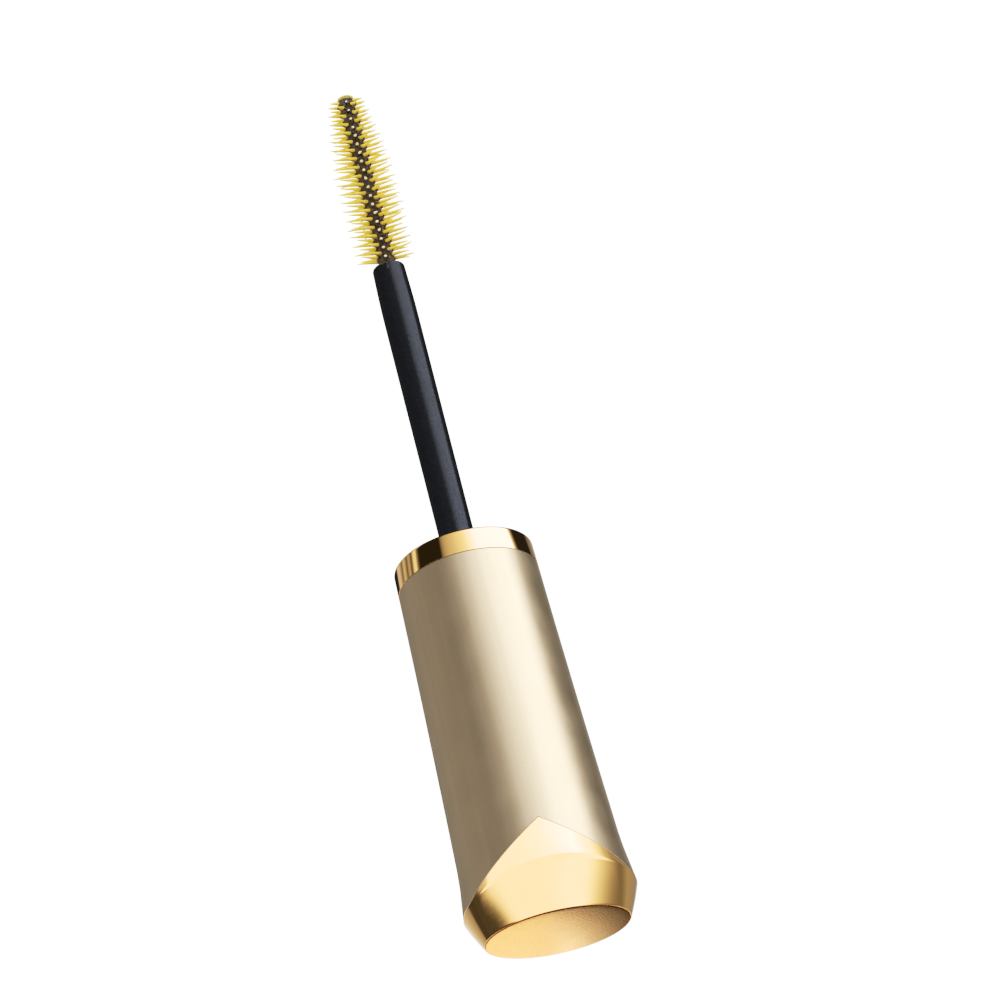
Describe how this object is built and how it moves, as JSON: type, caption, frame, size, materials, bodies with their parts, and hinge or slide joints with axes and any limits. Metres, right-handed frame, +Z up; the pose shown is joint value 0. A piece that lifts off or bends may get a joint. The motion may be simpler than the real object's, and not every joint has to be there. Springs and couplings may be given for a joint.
{
  "type": "mascara applicator",
  "caption": "Cap, wand and brush of a mascara: flared metal cap with a chiselled end, screw liner for the bottle's neck, slim stem and moulded bristle brush.",
  "frame": {"origin": "centre of the flat end disc that the cap stands on", "axes": "+Z up the cap's axis, from the end disc to the brush's tip; -Y is the front, where the gable edge of the sleeve has a peak; X runs along the disc's long axis"},
  "size_m": [0.021, 0.0206, 0.1158],
  "materials": {
    "champagne_sleeve": "champagne anodised, satin",
    "gold_collar": "gold anodised, polished",
    "gold_end": "vacuum metallised gold, polished",
    "satin_gold_disc": "gold anodised, fine satin grain",
    "liner_plastic": "moulded polypropylene",
    "weight_steel": "turned steel",
    "seal_foam": "soft closed-cell liner",
    "stem_plastic": "satin moulded plastic, blue-black",
    "core_plastic": "moulded, dark brown",
    "bristle_elastomer": "yellow moulded elastomer"
  },
  "bodies": {
    "root": {"outer_sleeve": "champagne_sleeve", "mouth_collar": "gold_collar", "end_cap": "gold_end", "end_disc": "satin_gold_disc", "inner_cap": "liner_plastic", "cap_weight": "weight_steel", "neck_seal": "seal_foam", "stem": "stem_plastic", "brush_core": "core_plastic", "brush_bristles": "bristle_elastomer"}
  },
  "joints": []
}
